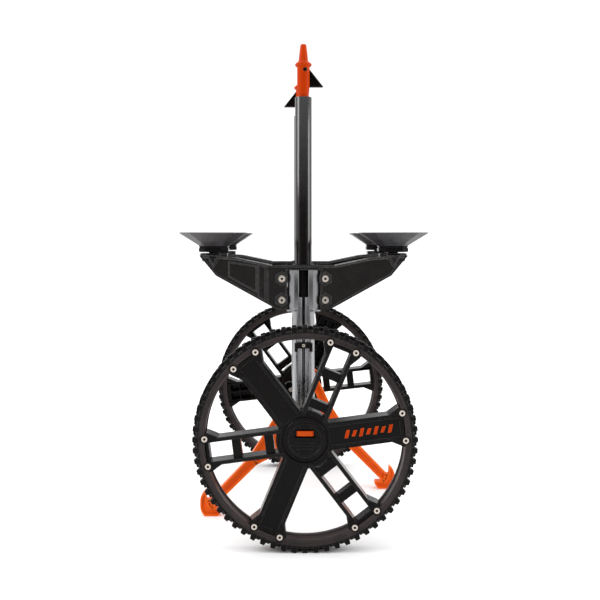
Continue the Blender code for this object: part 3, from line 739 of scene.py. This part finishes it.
def build_column():
    """Extruded column: round corners, a slot with two ribs, and two deep grooves."""
    face = column_low.y
    half = column_high.x
    back = column_high.y
    corner = 0.0125
    right = [
        (0.0026, face + 0.0046), (0.0026, face + 0.0006), (0.0032, face), (0.0060, face),
        (0.0066, face + 0.0006), (0.0068, face + 0.0038), (0.0090, face + 0.0038),
        (0.0092, face + 0.0004),
    ]
    right += arc((half - corner, face + corner), corner, -84, 0, 9)
    right += [(half, POST_Y - 0.006), (half - 0.0012, POST_Y - 0.006)]
    right += [(half - 0.0012, POST_Y + 0.006), (half, POST_Y + 0.006)]
    right += arc((half - 0.006, back - 0.006), 0.006, 0, 90, 5)
    shape = Shape()
    shape.level(right + [(-x, y) for x, y in reversed(right)], column_low.z, column_high.z)
    low, high = column_low.z - 0.01, column_high.z + 0.01
    cutters = [drill(COLUMN_BORE_R, low, high, 48, about_z(0, POST_Y))]
    for side in (-1, 1):
        x0, x1 = sorted((side * (half - 0.0025), side * (half + 0.004)))
        outline = rounded(x0, WINDOW_LOW, x1, WINDOW_HIGH, 0.0015, 3)
        cutters.append(plate_cutter(outline, POST_Y - 0.013, POST_Y - 0.0075))
    return carved(shape.mesh("column"), cutters)


def build_stop():
    """Clamp block on the column's outer face, with two jaws."""
    low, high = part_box("column_stop_right")
    shape = Shape()
    shape.upright(rounded(low.x, high.z - 0.0105, high.x, high.z, 0.0015, 3), low.y, high.y)
    for side in (-1, 1):
        x0, x1 = sorted((side * 0.0108, side * high.x))
        shape.upright(rounded(x0, low.z, x1, high.z - 0.004, 0.0012, 3), low.y + 0.0005, high.y)
    return shape.mesh("stop")


def build_stop_screw():
    """Cap screw that clamps the stop."""
    low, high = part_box("column_stop_right")
    shape = Shape()
    centre = about_y(0, high.z - 0.005)
    head = [(0.0030, low.y + 0.001), (0.0030, low.y - 0.0010), (0.0026, low.y - 0.0014),
            (0.0013, low.y - 0.0014), (0.0012, low.y), (0.0002, low.y)]
    shape.turned(head, 20, centre)
    return shape.mesh("stop_screw")


def build_post():
    """Round tube with a rolled top edge and a row of spring-button holes on its inner side."""
    shape = Shape()
    low, high = post_low.z, post_high.z
    profile = [
        (POST_R - 0.0024, low), (POST_R - 0.0006, low), (POST_R, low + 0.0006),
        (POST_R, high - 0.0012), (POST_R - 0.0004, high - 0.0004), (POST_R - 0.0012, high),
        (POST_BORE_R, high), (POST_BORE_R, low + 0.001),
    ]
    shape.turned(profile, 72, about_z(0, POST_Y), closed=True)
    holes = []
    for number in range(HOLE_COUNT):
        place = about_y(0, HOLE_FIRST + HOLE_PITCH * number)
        holes.append(drill(HOLE_R, POST_Y + 0.005, POST_Y + 0.03, 24, place))
    return carved(shape.mesh("post"), holes)


def build_cap():
    """Barbed nose with a flare, a slot for the fin and a hole for its pin."""
    profile = [
        (0.0126, 0.7960), (0.0126, 0.8128), (0.0112, 0.8134), (0.0108, 0.8150), (0.0110, 0.8190),
        (0.0117, 0.8260), (0.0123, 0.8330), (0.0123, 0.8690), (0.0126, 0.8712), (0.0150, 0.8728),
        (0.0158, 0.8740), (0.0158, 0.8764), (0.0150, 0.8776), (0.0120, 0.8800), (0.0098, 0.8822),
        (0.0088, 0.8850), (0.0082, 0.8920), (0.0073, 0.9000), (0.0064, 0.9080), (0.0058, 0.9125),
        (0.0050, 0.9143), (0.0036, 0.9149), (0.0002, 0.9150),
    ]
    shape = Shape()
    shape.turned(profile, 64, about_z(0, POST_Y))
    opening = rectangle(-0.03, 0.8150, 0.03, 0.8722)
    slot = plate_cutter(opening, POST_Y - 0.0032, POST_Y + 0.0032)
    hole = drill(0.0041, POST_Y - 0.03, POST_Y + 0.03, 32, about_y(*FIN_PIVOT))
    return carved(shape.mesh("cap"), [slot, hole])


def build_fin():
    """Three-cornered latch fin with sunk faces and a round root."""
    low, high = POST_Y - 0.0028, POST_Y + 0.0028
    shape = Shape()
    blade = [(0.0040, 0.8320), (0.0372, 0.8320), (0.0380, 0.8332), (0.0112, 0.8672)]
    blade += arc(FIN_PIVOT, 0.0062, 40, 200, 12)
    shape.dished(blade, low, high, 0.0016, 0.0009)
    shape.turned([(0.0062, low), (0.0062, high)], 40, about_y(*FIN_PIVOT))
    return shape.mesh("fin")


def build_fin_pin():
    """Hollow-headed pin through the cap and the fin."""
    low, high = fin_low.y, fin_high.y
    shape = Shape()
    profile = [(0.0020, low + 0.0012), (0.0024, low), (0.0032, low), (0.0036, low + 0.0005),
               (0.0036, high - 0.0005), (0.0032, high), (0.0002, high)]
    shape.turned(profile, 32, about_y(*FIN_PIVOT))
    return shape.mesh("fin_pin")


def make_uprights():
    """Column with its stop, and the post with its cap, fin and pin."""
    pair("column_tube", build_column(), "frame", ["column"], "bare_aluminium", bevel=0.0003)
    pair("stop_block", build_stop(), "frame", ["column_stop"], "black_plastic", bevel=0.0005)
    pair("stop_screw", build_stop_screw(), "frame", [], "steel", bevel=0)
    pair("post_tube", build_post(), "upright", ["post"], "dark_aluminium", bevel=0)
    pair("nose_cap", build_cap(), "upright", ["post_cap"], "orange_plastic", bevel=0.0004)
    pair("barb_fin", build_fin(), "fin", ["latch_fin"], "black_plastic", bevel=0.0003)
    pair("barb_pin", build_fin_pin(), "upright", ["fin_pin"], "black_plastic", bevel=0)


# ---------------------------------------------------------------- hull supports

FRONT = bracket_low.y
BACK = bracket_high.y
MIDDLE = (FRONT + BACK) / 2

# Clamp plate of a bracket, and the corners of its wing in X and Z.
CLAMP_SIDE = 0.0312
CLAMP_FOOT = 0.407
CLAMP_TOP = 0.491
WING_HEEL = (0.166, 0.472)
WING_TIP = (0.1975, 0.510)
WING_CREST = (0.130, 0.5055)
WING_END = (0.190, 0.5095)
TOP_LINE = [(-0.069, 0.4928), (-0.060, CLAMP_TOP), (0.060, CLAMP_TOP), WING_CREST, WING_END]


def bolt_places():
    """Middles of the four clamp bolts in X and Z."""
    places = []
    for number in range(1, 5):
        low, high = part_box(f"clamp_bolt_{number}_right")
        places.append(((low.x + high.x) / 2, (low.z + high.z) / 2))
    return places


BOLTS = bolt_places()


def strip(shape, line, thickness, low, high):
    """Flat strip hung under a line of X and Z."""
    outline = list(line) + [(x, z - thickness) for x, z in reversed(line)]
    shape.upright(outline, low, high)


def build_bracket():
    """Moulding with a wing, a bridge past the post, a clamp plate and four bolt bosses."""
    shape = Shape()
    seam = MIDDLE - 0.0002
    wing_face = [(CLAMP_SIDE, CLAMP_FOOT), (0.0485, CLAMP_FOOT), WING_HEEL, WING_TIP, WING_CREST,
                 (0.060, CLAMP_TOP), (CLAMP_SIDE, CLAMP_TOP)]
    shape.dished(wing_face, FRONT, seam, 0.0034, 0.0014)
    wing_rear = [(0.0693, 0.4185), WING_HEEL, WING_TIP, WING_CREST, (0.0693, 0.4930)]
    shape.dished(wing_rear, seam - 0.004, BACK, 0.0034, 0.0020)
    shape.dished([(0.0715, 0.4240), (0.0860, 0.4320), (0.0860, 0.4915), (0.0715, 0.4885)],
                 BACK - 0.004, BACK - 0.0004, 0.0016, 0.0008)
    shape.dished([(0.0885, 0.4400), (0.1420, 0.4695), (0.1420, 0.4985), (0.0885, 0.4900)],
                 BACK - 0.004, BACK - 0.0008, 0.0018, 0.0012)
    plate = [(-CLAMP_SIDE, CLAMP_FOOT), (-CLAMP_SIDE, CLAMP_TOP), (-0.060, CLAMP_TOP),
             (-0.069, 0.4928), (-0.069, 0.4184), (-0.0485, CLAMP_FOOT)]
    shape.dished(plate, FRONT, seam, 0.0022, 0.0012)
    bridge = [(0.033, FRONT), (0.033, seam)]
    bridge += [(x, y) for x, y in arc((0, MIDDLE), 0.0200, -1, -179, 16)]
    bridge += [(-0.033, seam), (-0.033, FRONT)]
    shape.level(bridge, 0.4833, CLAMP_TOP)
    strip(shape, TOP_LINE, 0.0026, FRONT - 0.0014, seam)
    strip(shape, [(0.0693, 0.4930), WING_CREST, WING_END], 0.0026, seam - 0.003, BACK + 0.0010)
    # Socket under the pad: heights and half widths, up its side, over its rim and down inside.
    levels = ((0.4985, 0.0215), (0.5050, 0.0235), (0.5056, 0.0252), (0.5130, 0.0256),
              (0.5140, 0.0248), (0.5140, 0.0215), (0.5104, 0.0203))
    shape.loft([[(x + PAD_X, y + POST_Y, z) for x, y in octagon(half)] for z, half in levels])
    # A V-shaped tongue below the socket on both faces.
    for edge, way in ((FRONT, -1), (BACK, 1)):
        tongue = [(PAD_X - 0.0150, 0.5135), (PAD_X + 0.0150, 0.5135), (PAD_X + 0.0016, 0.4880),
                  (PAD_X - 0.0016, 0.4880)]
        rows = ((tongue, edge - way * 0.003), (tongue, edge + way * 0.0004),
                (inset(tongue, 0.0030), edge + way * 0.0034),
                (inset(tongue, 0.0040), edge + way * 0.0034),
                (inset(tongue, 0.0046), edge + way * 0.0010))
        shape.loft([[(px, y, pz) for px, pz in loop] for loop, y in rows])
    # A six-sided collar round each bolt head.
    for x, z in BOLTS:
        outer = circle((x, z), 0.0136, 6, radians(30))
        crest = circle((x, z), 0.0124, 6, radians(30))
        inner = circle((x, z), 0.0102, 6, radians(30))
        rows = ((outer, FRONT + 0.003), (outer, FRONT - 0.0010), (crest, FRONT - 0.0024),
                (inner, FRONT - 0.0024), (inner, FRONT + 0.003))
        shape.loft([[(px, y, pz) for px, pz in loop] for loop, y in rows], closed=True)
    return shape.mesh("bracket")


def build_bolt(x, z):
    """Socket-head bolt with its nut behind."""
    shape = Shape()
    place = about_y(x, z)
    head = [
        (0.0002, BACK + 0.0004), (0.0040, BACK + 0.0004), (0.0040, BACK - 0.002),
        (0.0031, BACK - 0.002), (0.0031, FRONT + 0.003), (0.0060, FRONT + 0.003),
        (0.0072, FRONT + 0.0012), (0.0066, FRONT + 0.0010), (0.0066, FRONT - 0.0004),
        (0.0060, FRONT - 0.0013), (0.0044, FRONT - 0.0018), (0.0031, FRONT - 0.0018),
    ]
    shape.turned(head, 32, place)
    shape.upright(circle((x, z), 0.0072, 6), BACK - 0.0005, BACK + 0.0026)
    socket = plate_cutter(circle((x, z), 0.0027, 6), FRONT - 0.01, FRONT + 0.0014)
    return carved(shape.mesh("bolt"), [socket])


def build_sleeve():
    """Round-sided sleeve, open in front, with a lip around its foot."""
    low_z, high_z = sleeve_low.z, sleeve_high.z
    face, back = sleeve_low.y, sleeve_high.y
    cavity = column_high.x + 0.0005

    def outline(grow):
        """Section of the sleeve, grown outwards."""
        half = sleeve_high.x + grow
        right = [(cavity, POST_Y + cavity), (cavity, POST_Y - cavity), (0.0098, POST_Y - cavity),
                 (0.00875, POST_Y - cavity - 0.0008), (0.00875, face + 0.0012),
                 (0.0102, face - grow)]
        for step in range(1, 9):
            share = step / 8
            right.append((0.0102 + (half - 0.0106) * share, face - grow + 0.0056 * share ** 2))
        right.append((half, face + 0.0075))
        right += arc((half - 0.010, back - 0.010 + grow), 0.010, 0, 90, 6)
        return right + [(-x, y) for x, y in reversed(right)]

    levels = ((low_z, 0.0012), (low_z + 0.0035, 0.0012), (low_z + 0.0055, 0.0), (high_z, 0.0))
    shape = Shape()
    shape.loft([[(x, y, z) for x, y in outline(grow)] for z, grow in levels])
    return shape.mesh("sleeve")


def build_bush():
    """Guide ring of the post, with a rolled flange."""
    low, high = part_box("post_bush_right")
    shape = Shape()
    top = high.z
    profile = [
        (0.0165, low.z), (0.0194, low.z), (0.0194, top), (0.0206, top + 0.0004),
        (0.0212, top + 0.0010), (0.0208, top + 0.0020), (0.0180, top + 0.0024), (0.0165, top),
    ]
    shape.turned(profile, 64, about_z(0, POST_Y), closed=True)
    return shape.mesh("bush")


def build_pad():
    """Flared rubber pad: flat flanks, a round core that swells through them, and a grooved top."""
    bottom, top = pad_low.z, pad_high.z
    half = (pad_high.x - pad_low.x) / 2
    base = (base_high.x - base_low.x) / 2
    shape = Shape()

    def ring(size, z, share=0.36):
        """Octagon about the pad's middle at a height."""
        return [(x + PAD_X, y + POST_Y, z) for x, y in octagon(size, share)]

    levels = [ring(base - 0.0003, bottom), ring(base + 0.0012, bottom + 0.0016, 0.40)]
    rise = top - 0.0022 - bottom - 0.0016
    for step in range(1, 7):
        part = step / 6
        size = base + 0.0012 + (half - 0.0012 - base - 0.0012) * part
        levels.append(ring(size, bottom + 0.0016 + rise * part, 0.40 - 0.06 * part))
    # The lip, the fall inside it, and two ridges in the top.
    levels += [ring(half, top - 0.0014, 0.34), ring(half, top - 0.0006, 0.34),
               ring(half - 0.0008, top, 0.34), ring(half - 0.0045, top, 0.34),
               ring(half - 0.0075, top - 0.0028, 0.34), ring(0.0410, top - 0.0046, 0.34),
               ring(0.0395, top - 0.0030, 0.34), ring(0.0370, top - 0.0030, 0.34),
               ring(0.0355, top - 0.0058, 0.35), ring(0.0220, top - 0.0066, 0.36),
               ring(0.0205, top - 0.0050, 0.36), ring(0.0180, top - 0.0050, 0.36),
               ring(0.0165, top - 0.0072, 0.36)]
    shape.loft(levels)
    core = [(0.0240, bottom), (base + 0.0004, bottom + 0.0012)]
    core += [(base + 0.0004 + 0.0250 * part, bottom + 0.0012 + 0.0172 * part ** 1.12)
             for part in (0.2, 0.4, 0.6, 0.8, 1.0)]
    core += [(base + 0.0244, top - 0.0052), (0.0002, top - 0.0080)]
    shape.turned(core, 72, about_z(PAD_X, POST_Y))
    return shape.mesh("pad")


def build_pad_base():
    """Clamp ring under the pad, on a short neck."""
    shape = Shape()
    half = (base_high.x - base_low.x) / 2
    levels = ((0.5116, 0.0098), (0.5160, 0.0098), (0.5163, half - 0.006), (0.5164, half - 0.0014),
              (0.5176, half), (0.5236, half), (0.5243, half - 0.0014), (0.5252, half - 0.0014),
              (0.5258, half - 0.0004), (0.5280, half - 0.0004))
    shape.loft([[(x + PAD_X, y + POST_Y, z) for x, y in octagon(half)] for z, half in levels])
    return shape.mesh("pad_base")


def make_supports():
    """Brackets, bolts, sleeve, guide ring, and the four pads on their bases."""
    bracket = build_bracket()
    about_post = Matrix.Translation((0, POST_Y, 0))
    half_turn = about_post @ Matrix.Rotation(pi, 4, "Z") @ about_post.inverted()
    rear = bracket.copy()
    rear.transform(half_turn)
    for name, mesh in (("outer", bracket), ("inner", rear)):
        pair(f"clamp_{name}", mesh, "support", [f"bracket_{name}"], "black_plastic",
             bevel=0.0009, look="bracket_plastic")
    for number, (x, z) in enumerate(BOLTS, 1):
        pair(f"support_bolt_{number}", build_bolt(x, z), "support", [f"clamp_bolt_{number}"],
             "steel", bevel=0)
    pair("sleeve_shell", build_sleeve(), "support", ["support_sleeve"], "bare_aluminium",
         bevel=0.0004)
    pair("guide_ring", build_bush(), "support", ["post_bush"], "black_plastic", bevel=0)
    # The front right pad is drawn, and the other three are its mirror copies.
    for build, kind, slot in ((build_pad, "pad", "pad_rubber"),
                              (build_pad_base, "pad_base", "black_plastic")):
        mesh = build()
        for end, x_way in (("front", 1), ("rear", -1)):
            for side, y_way in (("right", 1), ("left", -1)):
                copy = mesh.copy()
                copy.transform(Matrix.Diagonal((x_way, y_way, 1, 1)))
                if x_way * y_way < 0:
                    copy.flip_normals()
                made = piece(f"rubber_{kind}_{end}_{side}", copy, f"{end}_pad_{side}",
                             [f"{kind}_{end}_{side}"], slot, bevel=0.0004, angle=18)


# ---------------------------------------------------------------- kickstands


# Corners in X and Z that two outlines of the leg share.
KNEE_BACK = (-0.1058, 0.1136)
KNEE_FRONT = (-0.0908, 0.1001)
ANKLE = (-0.1839, 0.0327)


def build_leg():
    """Bent I-section leg: gusset, shaft, knee band, anchor foot and pivot boss."""
    low, high = leg_low.y, leg_high.y
    shape = Shape()
    boss = arc(LEG_PIVOT, 0.011, -30, 190, 16)
    gusset = boss + [(-0.0365, 0.236), (-0.0595, 0.1866), (-0.0790, 0.1558), KNEE_BACK,
                     KNEE_FRONT, (-0.0475, 0.1224), (-0.0400, 0.1360), (-0.0390, 0.1640),
                     (-0.0350, 0.1950), (-0.0142, 0.2427)]
    shape.dished(gusset, low, high, 0.0036, 0.0055)
    shaft = [(-0.1020, 0.1176), KNEE_BACK, ANKLE, (-0.1900, 0.0240), (-0.1810, 0.0130),
             (-0.1740, 0.0177), KNEE_FRONT, (-0.0880, 0.1030)]
    shape.dished(shaft, low, high, 0.0034, 0.0052)
    foot = [ANKLE, (-0.1884, 0.0320), (-0.1891, 0.0503), (-0.1935, 0.0472),
            (-0.1975, 0.0425), (-0.2002, 0.0360), (-0.2009, 0.0300), (-0.2009, 0.0190),
            (-0.2000, 0.0125), (-0.1972, 0.0062), (-0.1915, 0.0000), (-0.1665, 0.0000),
            (-0.1625, 0.0045), (-0.1577, 0.0120), (-0.1590, 0.0170), (-0.1760, 0.0177),
            (-0.1780, 0.0270)]
    shape.dished(foot, low, high, 0.0030, 0.0045)
    knee = [(-0.1068, 0.1128), (-0.1028, 0.1196), (-0.0862, 0.1040), (-0.0905, 0.0990)]
    shape.upright(knee, low + 0.0004, high - 0.0004)
    strut = [(-0.0600, 0.1830), (-0.0560, 0.1890), (-0.0370, 0.1640), (-0.0400, 0.1600)]
    shape.upright(strut, low + 0.001, high - 0.001)
    disc = [(0.0048, low), (0.0100, low), (0.0110, low + 0.0008), (0.0110, high - 0.0008),
            (0.0100, high), (0.0048, high)]
    shape.turned(disc, 48, about_y(*LEG_PIVOT), closed=True)
    return shape.mesh("leg")


def make_kickstands():
    """The two folding legs, in an orange painted lighter than the other parts' to make up for the
    shade behind the wheels.
    """
    pair("leg_arm", build_leg(), "leg", ["kickstand_leg"], "orange_plastic", bevel=0.0009,
         segments=3, look="shade_lifted_leg_plastic")


# ---------------------------------------------------------------- kept CAD nodes


def keep_nodes():
    """Material and rounded edges on the CAD nodes that stay."""
    kept = {
        "crossbar_outer": "bare_aluminium", "crossbar_inner": "bare_aluminium",
        "crossbar_collar": "black_plastic",
    }
    for side in ("right", "left"):
        kept[f"axle_{side}"] = "steel"
        kept[f"hub_bush_{side}"] = "bush_plastic"
        kept[f"axle_carrier_{side}"] = "black_plastic"
        kept[f"kickstand_pin_{side}"] = "steel"
    for name, slot in kept.items():
        obj = frame["nodes"][name]
        for material_slot in obj.material_slots:
            material_slot.material = MATERIALS[slot]
        edge = obj.modifiers.new("edge", "BEVEL")
        edge.width = 0.0008
        edge.segments = 2
        edge.limit_method = "ANGLE"
        edge.angle_limit = radians(40)


# ---------------------------------------------------------------- studio

FLOOR_HALF = 60
AIM = Vector((0, 0, 0.35))

# Each lamp: its name, place, size and power.
LAMPS = (
    ("key", (-2.3, -0.5, 1.9), 1.1, 26),
    ("fill", (2.4, -0.4, 1.4), 1.0, 18),
    ("back", (0.0, 2.4, 2.6), 2.2, 20),
)


def make_floor():
    """Pale floor, wide enough to meet the backdrop."""
    mesh = bpy.data.meshes.new("floor")
    corners = [(x * FLOOR_HALF, y * FLOOR_HALF, 0) for x, y in rectangle(-1, -1, 1, 1)]
    mesh.from_pydata(corners, [], [(0, 1, 2, 3)])
    floor = bpy.data.objects.new("floor", mesh)
    bpy.context.scene.collection.objects.link(floor)
    made, _, shader = new_material("floor_paint")
    shader.inputs["Base Color"].default_value = (0.92, 0.92, 0.92, 1)
    shader.inputs["Roughness"].default_value = 0.9
    shader.inputs["Specular IOR Level"].default_value = 0.1
    mesh.materials.append(made)


def make_sky():
    """Studio light, dark in front and bright all round and above, and a white backdrop."""
    world = bpy.data.worlds.new("studio")
    bpy.context.scene.world = world
    world.use_nodes = True
    tree = world.node_tree
    tree.nodes.clear()
    # The light comes by direction: sides runs from front to back, and above covers the top.
    place = node(tree, "ShaderNodeTexCoord").outputs["Generated"]
    parts = node(tree, "ShaderNodeSeparateXYZ", Vector=place)
    along = node(tree, "ShaderNodeMapRange", Value=parts.outputs["Y"])
    along.inputs["From Min"].default_value = -1
    along.inputs["From Max"].default_value = 1
    sides = ramp(tree, along.outputs["Result"], (
        (0.0, (0.01,)), (0.12, (0.03,)), (0.30, (0.55,)), (0.46, (1.0,)), (1.0, (1.0,)),
    ))
    above = ramp(tree, parts.outputs["Z"], ((0.30, (0.0,)), (0.62, (1.0,))))
    sky = tree.nodes.new("ShaderNodeMix")
    sky.data_type = "RGBA"
    tree.links.new(above, sky.inputs[0])
    tree.links.new(sides, sky.inputs[6])
    sky.inputs[7].default_value = (1.45, 1.45, 1.45, 1)
    # The camera sees a plain backdrop of one white, from every side, in place of that light.
    ambient = node(tree, "ShaderNodeBackground", Color=sky.outputs[2], Strength=1.06)
    backdrop = node(tree, "ShaderNodeBackground", Color=(1, 1, 1, 1), Strength=1.05)
    path = node(tree, "ShaderNodeLightPath")
    shown = node(tree, "ShaderNodeMixShader", Fac=path.outputs["Is Camera Ray"])
    tree.links.new(ambient.outputs[0], shown.inputs[1])
    tree.links.new(backdrop.outputs[0], shown.inputs[2])
    output = node(tree, "ShaderNodeOutputWorld")
    tree.links.new(shown.outputs[0], output.inputs["Surface"])


def make_lamps():
    """Soft lamps at both sides and behind, all aimed at the cart."""
    for name, spot, size, power in LAMPS:
        lamp = bpy.data.lights.new(name, "AREA")
        lamp.size = size
        lamp.energy = power
        holder = bpy.data.objects.new(name, lamp)
        holder.location = spot
        holder.rotation_euler = (AIM - Vector(spot)).to_track_quat("-Z", "Y").to_euler()
        bpy.context.scene.collection.objects.link(holder)


def make_camera():
    """Level camera with a shifted lens, as in the photograph."""
    data = bpy.data.cameras.new("camera")
    data.lens = 52.1
    data.sensor_width = 36
    data.shift_x = 0.020
    data.shift_y = -0.105
    camera = bpy.data.objects.new("camera", data)
    camera.location = (-0.0295, -1.795, 0.545)
    camera.rotation_euler = (pi / 2, 0, 0)
    bpy.context.scene.collection.objects.link(camera)
    bpy.context.scene.camera = camera


# The standard view keeps the floor white and the oranges full.
bpy.context.scene.view_settings.view_transform = "Standard"

make_camera()
make_floor()
make_sky()
make_lamps()
make_wheels()
make_uprights()
make_supports()
make_kickstands()
keep_nodes()
